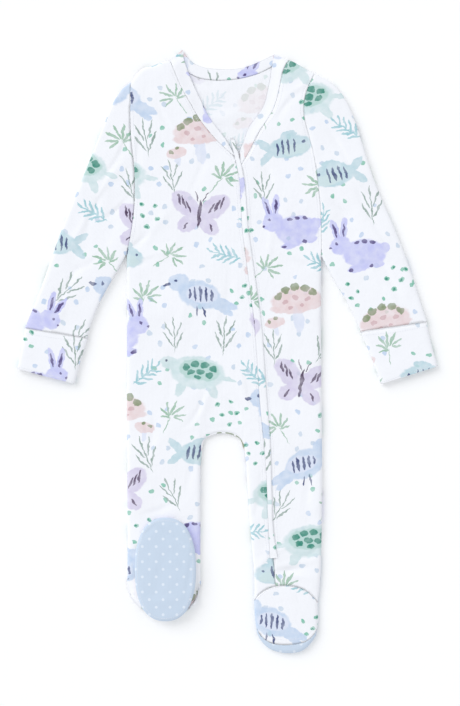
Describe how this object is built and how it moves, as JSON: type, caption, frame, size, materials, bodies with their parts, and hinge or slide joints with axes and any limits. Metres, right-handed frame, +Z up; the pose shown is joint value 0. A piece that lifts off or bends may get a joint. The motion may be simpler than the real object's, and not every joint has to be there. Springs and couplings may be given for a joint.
{
  "type": "footed baby sleepsuit",
  "caption": "Long-sleeved footed baby sleepsuit of printed jersey with a zip from neck to ankle, laid flat with one foot folded up.",
  "frame": {"origin": "middle of the part's box, on the surface that the garment lies on", "axes": "+X to the wearer's left, +Y to the neck, +Z up off the surface, with the front of the garment upwards"},
  "size_m": [0.4466, 0.6412, 0.0123],
  "materials": {
    "printed_jersey": "soft smooth jersey, white with a small print",
    "dotted_jersey": "soft jersey, pale blue with white dots",
    "zip_tape": "woven white tape with a closed nylon coil"
  },
  "bodies": {
    "root": {"back_panel": "printed_jersey", "front_right_panel": "printed_jersey", "front_left_panel": "printed_jersey", "sleeve_right": "printed_jersey", "sleeve_left": "printed_jersey", "cuff_right": "printed_jersey", "cuff_left": "printed_jersey", "neckband_right": "printed_jersey", "neckband_back": "printed_jersey", "neckband_left": "printed_jersey", "zip_chain": "zip_tape", "zip_guard": "printed_jersey", "vamp_right": "printed_jersey", "vamp_left": "printed_jersey", "sole_right": "dotted_jersey", "sole_left": "dotted_jersey"}
  },
  "joints": []
}
